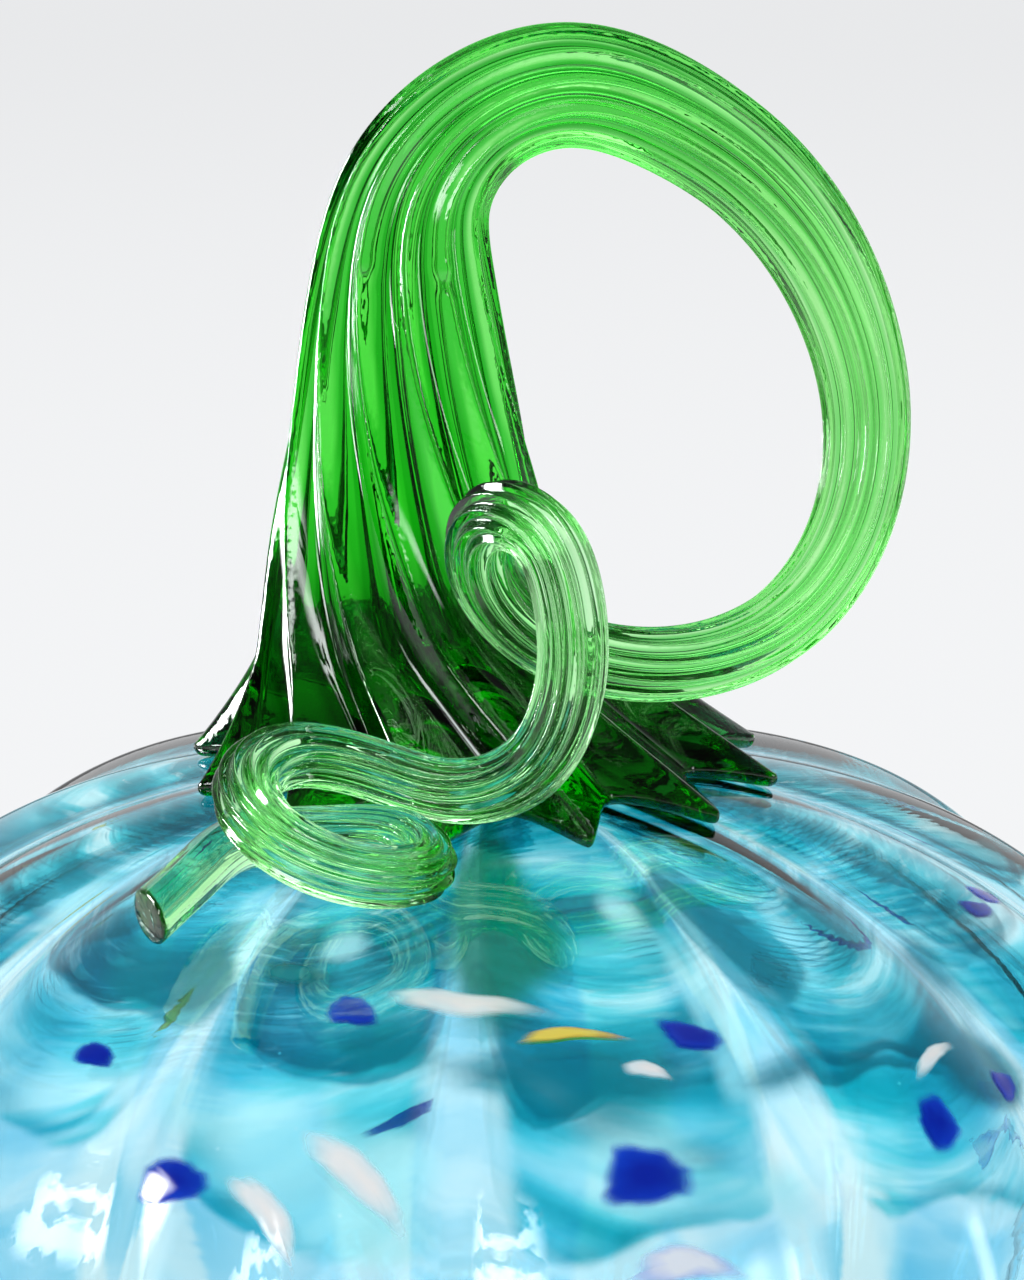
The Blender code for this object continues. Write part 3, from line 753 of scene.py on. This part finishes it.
twist -= loop_twist * np.clip(path_arc - column_length, 0.0, None)
ridge = np.interp(path_arc / path_arc[-1], (0.0, 0.03, 0.12, 0.25, 0.5, 0.87, 0.94, 1.0),
                  (foot_ridge, column_ridge, 0.7 * column_ridge, loop_ridge, curl_ridge, curl_ridge,
                   tail_ridge, 0.0))
rounding = np.interp(path_arc, (0.0, 0.02, 0.08, 0.12, 0.18, 0.28), (0.08, 0.10, 0.14, 0.32, 0.50, 0.55))


def ridge_shape(bearing, rounding):
    """1 on the crest of a stem ridge and 0 in the flute between two: flutes are bowls that meet in a ridge, a
    rounded |sin| of half the rib angle, as on a fluted column."""
    phase = (bearing - tip_bearing) * stem_ribs / 2.0
    full = np.hypot(1.0, rounding)
    return (full - np.hypot(np.sin(phase), rounding)) / (full - rounding)


columns_per_ridge = 14
ridge_gather = 0.65
petal_rounding = 0.08
crest_rounding = 0.3
stem_columns = stem_ribs * columns_per_ridge
even_turn = np.linspace(0.0, 2.0 * math.pi, stem_columns + 1)
stem_turn = tip_bearing + even_turn - ridge_gather * np.sin(stem_ribs * even_turn) / stem_ribs
bearing = stem_turn[:-1]
direction = np.stack([np.sin(bearing), -np.cos(bearing), np.zeros_like(bearing)], axis=-1)
spin = bearing[None, :] + twist[:, None]
section = path_radius[:, None] - ridge[:, None] * (1.0 - ridge_shape(bearing[None, :], rounding[:, None]))

# Two ridges have a pinch from the tool that pulled them: a dent with a small bulge above it.
pinched_ribs = (0, 2)
pinch_place = 0.0548
pinch_dent, pinch_dent_length = 0.0005, 0.0011
pinch_bulge, pinch_bulge_length = 0.0003, 0.0010
pinch_bulge_above = 0.0020
pinch_width = 0.24
along_pinch = path_arc[:, None] - pinch_place
squeeze = (pinch_bulge * np.exp(-((along_pinch - pinch_bulge_above) / pinch_bulge_length) ** 2)
           - pinch_dent * np.exp(-(along_pinch / pinch_dent_length) ** 2))
for rib in pinched_ribs:
    beside_rib = (bearing[None, :] - tip_bearing) * stem_ribs / (2.0 * math.pi) - rib
    section = section + squeeze * np.exp(-(beside_rib / pinch_width) ** 2)
outward = path_side[:, None, :] * np.sin(spin)[..., None] + path_front[:, None, :] * np.cos(spin)[..., None]
tube = path_centre[:, None, :] + section[..., None] * outward
foot_edge = arc_notch + (arc_foot - arc_notch) * ridge_shape(bearing, petal_rounding)


def plug_ring(radius, depth):
    """A plain circle of the plug that sits in the neck, at a depth under the lip."""
    return direction * radius + upward * (lip_level - depth)


def draped_ring(share):
    """A ring under the foot that lies in the body's skin at a share of the way out to the foot's edge."""
    return body_at(foot_edge * share, bearing, np.full_like(bearing, -foot_sink))


def rolled_ring(angle):
    """A ring of the foot's rounded edge: a circle from the underside outwards and up, at that angle."""
    out, up = edge_height * 0.5 * (math.cos(angle) - 1.0), edge_height * 0.5 * (1.0 + math.sin(angle))
    return body_at(foot_edge + out, bearing, np.full_like(bearing, up - foot_sink))


plug_fit = 0.0001
plug_sizes = ((0.004, 0.0055), (0.009, 0.0054), (0.012, 0.0047), (neck_radius + plug_fit, 0.0036))
under_rings = 14
edge_rings = 9
flare_rings = 24
column_start = 16
pull_out_share = 0.35
pull_in_share = 0.4
foot_rings = [plug_ring(radius, depth) for radius, depth in plug_sizes]
foot_rings += [draped_ring(share) for share in np.linspace(0.04, 0.95, under_rings)]
foot_rings += [rolled_ring(angle) for angle in np.radians(np.linspace(-80.0, 40.0, edge_rings))]
foot_top = foot_rings[-1]
pull_out = foot_top + pull_out_share * (tube[0] - foot_top)
column_pull = (tube[column_start + 1] - tube[column_start]) * column_start
pull_in = tube[column_start] - column_pull * pull_in_share


def flare_ring(t):
    """A ring of the foot's flare: a cubic Bezier from the rolled edge to the column, steep at both ends."""
    return ((1.0 - t) ** 3 * foot_top + 3.0 * t * (1.0 - t) ** 2 * pull_out
            + 3.0 * t ** 2 * (1.0 - t) * pull_in + t ** 3 * tube[column_start])


foot_run = -0.010
flat_run = np.full(len(foot_rings), foot_run)
flare_run = np.linspace(foot_run, path_arc[column_start], flare_rings + 2)[1:-1]
foot_rings += [flare_ring(t) for t in np.linspace(0.0, 1.0, flare_rings + 2)[1:-1]]

# The tail is cut off at a slant over its last rings, and its end is fire-polished to a low dome.
tail_cut = math.radians(36.0)
tail_stretch = 12
tail_dome = ((0.0003, 0.985), (0.0006, 0.92), (0.0007, 0.8), (0.0007, 0.4))
tail_way, tail_section = path_way[-1], tube[-1] - path_centre[-1]
tail_right = np.cross(tail_way, upward)
tail_slant = -math.tan(tail_cut) * (tail_section @ tail_right)
slanting = (np.arange(tail_stretch) + 1.0) / tail_stretch
tube[-tail_stretch:] += slanting[:, None, None] * tail_slant[None, :, None] * tail_way
tail_rings = [path_centre[-1] + tail_way * reach + (tail_section + tail_slant[:, None] * tail_way) * size
              for reach, size in tail_dome]
stem_grid = np.concatenate([np.stack(foot_rings), tube[column_start:], np.stack(tail_rings)]) + axis
ring_gaps = np.linalg.norm(np.diff(stem_grid, axis=0), axis=2).mean(axis=1)
stem_along = np.concatenate([[0.0], np.cumsum(ring_gaps)])
stem_run = np.concatenate([flat_run, flare_run, path_arc[column_start:],
                           np.full(len(tail_rings), path_arc[-1])])
stem_crest = ridge_shape(bearing, crest_rounding)
stem = skin_mesh("curled_stem_glass", stem_grid, (stem_turn - tip_bearing) / (2.0 * math.pi), stem_along,
                 run=np.repeat(stem_run[:, None], stem_columns, axis=1),
                 crest=np.repeat(stem_crest[None, :], len(stem_run), axis=0))

# The glass pales as it is drawn out. Its crests are painted lighter and its flutes darker, painted light and
# shade for the bands that the ribs bend, and by the foot both are near black, partly the thick glass's own
# denser colour and partly painted shade.
drawn_length = 0.4
drawn_wander = 0.012
depth_colour = (0.12, 0.894, 0.03, 1.0)
depth_density = 110.0
drag_depth = 0.00008
green, tree, shader = material("green_glass")
clear_glass(shader)
spot = node(tree, "ShaderNodeTexCoord").outputs["Object"]
crest = mark(tree, "crest")
unevenly = number(tree, "MULTIPLY_ADD", noise(tree, spot, 90.0), drawn_wander, mark(tree, "run"))
drawn_out = number(tree, "DIVIDE", unevenly, drawn_length)
# Painted light on the crests and painted shade in the flutes; at the foot both are near black.
lit_crest_tint = ramp(tree, drawn_out, [(0.02, (0.010, 0.09, 0.034)), (0.075, (0.62, 0.95, 0.58)),
                                    (0.16, (0.66, 0.95, 0.60)), (0.24, (0.72, 0.95, 0.66)),
                                    (0.36, (0.87, 0.97, 0.78)), (0.48, (0.80, 0.96, 0.75)),
                                    (0.64, (1.0, 1.0, 1.0))])
shaded_flute_tint = ramp(tree, drawn_out, [(0.02, (0.003, 0.04, 0.012)), (0.075, (0.06, 0.53, 0.09)),
                                    (0.25, (0.04, 0.44, 0.05)), (0.36, (0.38, 0.80, 0.35)),
                                    (0.48, (0.20, 0.64, 0.21)), (0.64, (0.86, 0.97, 0.89))])
in_flute = number(tree, "MULTIPLY_ADD", noise(tree, spot, 55.0, 3.0), -0.7, crest)
stem_lit_and_shaded_tint = mixed(tree, step(tree, in_flute, 0.30, -0.10, 0.0, 0.95), lit_crest_tint, shaded_flute_tint)
tree.links.new(stem_lit_and_shaded_tint, shader.inputs["Base Color"])
chatter = product(tree, noise(tree, spot, 800.0, 1.0), step(tree, crest, 0.55, 0.95, 0.0, 2.5))
dragged = number(tree, "MULTIPLY_ADD", noise(tree, spot, 420.0), 0.15, chatter)
drag_marks = node(tree, "ShaderNodeBump", Strength=0.35, Distance=drag_depth)
tree.links.new(dragged, drag_marks.inputs["Height"])
tree.links.new(drag_marks.outputs["Normal"], shader.inputs["Normal"])
depth_tint = node(tree, "ShaderNodeVolumeAbsorption")
depth_tint.inputs["Color"].default_value = depth_colour
depth_tint.inputs["Density"].default_value = depth_density
tree.links.new(depth_tint.outputs["Volume"], tree.nodes["Material Output"].inputs["Volume"])
stem.data.materials.append(green)
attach(stem, "root")
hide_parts("curled_stem")


# Table. One plain pale round sheet that the pumpkin stands on. It keeps the shadow near the pumpkin, and
# further out the camera and the glass see it as bright as the backdrop, so that it has no edge.
table_radius = 3.0
table_hub = 0.004
table_level = -0.0002
table_rings = 40
table_columns = 96
table_ring, table_turn = np.meshgrid(np.linspace(table_hub, table_radius, table_rings),
                                     np.linspace(0.0, 2.0 * math.pi, table_columns + 1)[:-1], indexing="ij")
table_points = np.stack([table_ring * np.sin(table_turn), -table_ring * np.cos(table_turn),
                         np.full_like(table_ring, table_level)], axis=-1)
table_faces = grid_quads(table_rings, table_columns)[:, [0, 3, 2, 1]].tolist() + [list(range(table_columns))]
table_mesh = bpy.data.meshes.new("pale_table")
table_mesh.from_pydata(table_points.reshape(-1, 3).tolist(), [], table_faces)
table = bpy.data.objects.new("pale_table", table_mesh)
bpy.context.scene.collection.objects.link(table)


def glass_rays(tree, rays):
    """Two numbers for a ray: 1 where glass mirrors or bends it, and 1 where glass only mirrors it."""
    glossy, bent = rays.outputs["Is Glossy Ray"], rays.outputs["Is Transmission Ray"]
    return number(tree, "MAXIMUM", glossy, bent), number(tree, "SUBTRACT", glossy, bent)


def blended(tree, share, first, second):
    """A mix of two shaders by a share that another node gives."""
    made = node(tree, "ShaderNodeMixShader")
    tree.links.new(share, made.inputs["Fac"])
    tree.links.new(first, made.inputs[1])
    tree.links.new(second, made.inputs[2])
    return made.outputs["Shader"]


paper_colour = (0.86, 0.87, 0.88, 1.0)
paper_roughness = 0.7
backdrop_colour = (0.975, 0.985, 1.0, 1.0)
backdrop_level = 0.83
near_level = 0.93
glass_extra = 0.14
paper, tree, shader = material("pale_paper")
shader.inputs["Base Color"].default_value = paper_colour
shader.inputs["Roughness"].default_value = paper_roughness
shader.inputs["Specular IOR Level"].default_value = 0.0
reach = node(tree, "ShaderNodeVectorMath", operation="LENGTH")
tree.links.new(node(tree, "ShaderNodeTexCoord").outputs["Object"], reach.inputs[0])
away = reach.outputs["Value"]
rays = node(tree, "ShaderNodeLightPath")
in_glass, mirrored = glass_rays(tree, rays)
glass_share = product(tree, in_glass, step(tree, away, 0.02, 0.10, 0.8, 1.0))
view_share = product(tree, rays.outputs["Is Camera Ray"], step(tree, away, 0.09, 0.28))
seen_level = step(tree, away, 0.20, 2.0, near_level, backdrop_level)
glass_level = number(tree, "MULTIPLY_ADD", in_glass, glass_extra, seen_level)
far_away = number(tree, "MULTIPLY_ADD", mirrored, step(tree, away, 0.45, 1.0, 0.0, -0.75), 1.0)
bright = node(tree, "ShaderNodeEmission")
bright.inputs["Color"].default_value = backdrop_colour
tree.links.new(product(tree, glass_level, far_away), bright.inputs["Strength"])
sheet = blended(tree, number(tree, "MAXIMUM", glass_share, view_share),
                shader.outputs["BSDF"], bright.outputs["Emission"])
tree.links.new(sheet, tree.nodes["Material Output"].inputs["Surface"])
table_mesh.materials.append(paper)


# Light. Three soft lamps at a plain level, and a pale room that is bright behind the pumpkin and dim on the
# camera's side. What the glass bends is also bright overhead. What it mirrors has narrow windows at the left
# and right, and a dappled one high at the front left.
def soft_lamp(name, spot, target, width, height, power):
    """A rectangular lamp at a spot, turned to face a target, that shows in no reflection."""
    lamp = bpy.data.lights.new(name, "AREA")
    lamp.shape = "RECTANGLE"
    lamp.size = width
    lamp.size_y = height
    lamp.energy = power
    thing = bpy.data.objects.new(name, lamp)
    bpy.context.scene.collection.objects.link(thing)
    x, y, z = np.array(spot) - np.array(target)
    thing.location = spot
    thing.rotation_euler = (math.atan2(math.hypot(x, y), z), 0.0, math.atan2(x, -y))
    thing.visible_glossy = False
    thing.visible_transmission = False


soft_lamp("left_lamp", (-0.80, -0.60, 0.75), (0.0, 0.0, 0.14), 0.50, 0.60, 4.0)
soft_lamp("right_lamp", (0.85, -0.45, 0.60), (0.0, 0.0, 0.14), 0.40, 0.60, 2.0)
soft_lamp("back_lamp", (0.10, 0.90, 0.90), (0.0, 0.0, 0.12), 0.80, 0.50, 3.0)

# The room's windows: each has its lowest and highest corner of directions, and a level.
side_windows = (
    ((-1.3, -0.36, -0.46), (-0.70, -0.12, 0.10), 1.3),
    ((-1.3, 0.00, -0.10), (-0.78, 0.36, 0.45), 3.2),
    ((0.74, -0.30, -0.15), (1.3, -0.04, 0.35), 0.4),
)
dappled_window = ((-0.80, -0.94, 0.24), (-0.34, -0.48, 0.76), 0.7)
window_edge = 0.12
window_bent_level = 0.6
window_mirrored_extra = 19.4
overhead_level = 3.0
lit_level = 0.62
world = bpy.data.worlds.new("pale_room")
bpy.context.scene.world = world
world.use_nodes = True
tree = world.node_tree
tree.nodes.clear()
rays = node(tree, "ShaderNodeLightPath")
bent = rays.outputs["Is Transmission Ray"]
in_glass, mirrored = glass_rays(tree, rays)
toward = node(tree, "ShaderNodeTexCoord").outputs["Generated"]
split = node(tree, "ShaderNodeSeparateXYZ")
tree.links.new(toward, split.inputs["Vector"])
across, along, height = split.outputs["X"], split.outputs["Y"], split.outputs["Z"]


def between(share, first, second):
    """A mix of two numbers that other nodes give."""
    made = node(tree, "ShaderNodeMix", data_type="FLOAT")
    for slot, value in ((0, share), (2, first), (3, second)):
        tree.links.new(value, made.inputs[slot])
    return made.outputs[0]


def room_level(front_end, back_start, behind, high_behind, front, ceiling, sides):
    """How bright the room is in each direction: one pair of levels behind, low and high, one pair in front, a
    smooth change from front to back between two places along Y, and a share of these levels at the far left
    and right."""
    back = step(tree, height, 0.30, 0.60, behind, high_behind)
    fore = step(tree, height, 0.10, 0.35, front, ceiling)
    level = between(step(tree, along, front_end, back_start), fore, back)
    return product(tree, level, step(tree, number(tree, "ABSOLUTE", across), 0.50, 0.80, 1.0, sides))


def window_patch(low, high, level):
    """A soft-edged bright patch of the room between two corners of directions: a smooth step up and down
    along each of the three, multiplied."""
    patch = level
    for part, start, end in zip((across, along, height), low, high):
        patch = product(tree, step(tree, part, start, start + window_edge),
                        step(tree, part, end, end - window_edge), patch)
    return patch


def room_light(strength):
    """A background of the room's colour, at a plain strength or at one that another node gives."""
    made = node(tree, "ShaderNodeBackground")
    made.inputs["Color"].default_value = backdrop_colour
    if isinstance(strength, float):
        made.inputs["Strength"].default_value = strength
    else:
        tree.links.new(strength, made.inputs["Strength"])
    return made.outputs["Background"]


mirrored_level = room_level(-0.35, 0.35, 0.92, 0.30, 0.12, 0.06, 0.20)
bent_level = room_level(0.40, 0.85, 1.15, 1.05, 0.55, 0.10, 1.0)
walls = between(bent, mirrored_level, bent_level)
overhead = number(tree, "MULTIPLY_ADD", bent, step(tree, height, 0.60, 0.80, 0.0, overhead_level), walls)
dapple = step(tree, noise(tree, toward, 7.0, 5.0), 0.43, 0.53)
windows = product(tree, dapple, window_patch(*dappled_window))
for low, high, level in side_windows:
    windows = number(tree, "MAXIMUM", windows, window_patch(low, high, level))
window_level = number(tree, "MULTIPLY_ADD", mirrored, window_mirrored_extra, window_bent_level)
glass_light = room_light(number(tree, "MULTIPLY_ADD", windows, window_level, overhead))
object_light = blended(tree, in_glass, room_light(lit_level), glass_light)
whole_room = blended(tree, rays.outputs["Is Camera Ray"], object_light, room_light(backdrop_level))
world_out = node(tree, "ShaderNodeOutputWorld")
tree.links.new(whole_room, world_out.inputs["Surface"])


# Camera. Level with the top of the stem and looking a little down, close enough that the body fills the
# foot of the frame.
camera_lens = 126.8
camera_distance = 0.55
camera_rise = math.radians(15.5)
camera_dip = math.radians(13.874)
camera_turn = math.radians(-0.381)
light_bounces = 24
camera_data = bpy.data.cameras.new("camera")
camera_data.lens = camera_lens
camera = bpy.data.objects.new("camera", camera_data)
bpy.context.scene.collection.objects.link(camera)
camera.location = (axis[0], axis[1] - camera_distance * math.cos(camera_rise),
                   foot_level + camera_distance * math.sin(camera_rise))
camera.rotation_euler = (math.pi / 2.0 - camera_dip, 0.0, camera_turn)
bpy.context.scene.camera = camera
bpy.context.scene.view_settings.view_transform = "Standard"
bpy.context.scene.cycles.max_bounces = light_bounces
bpy.context.scene.cycles.transmission_bounces = light_bounces
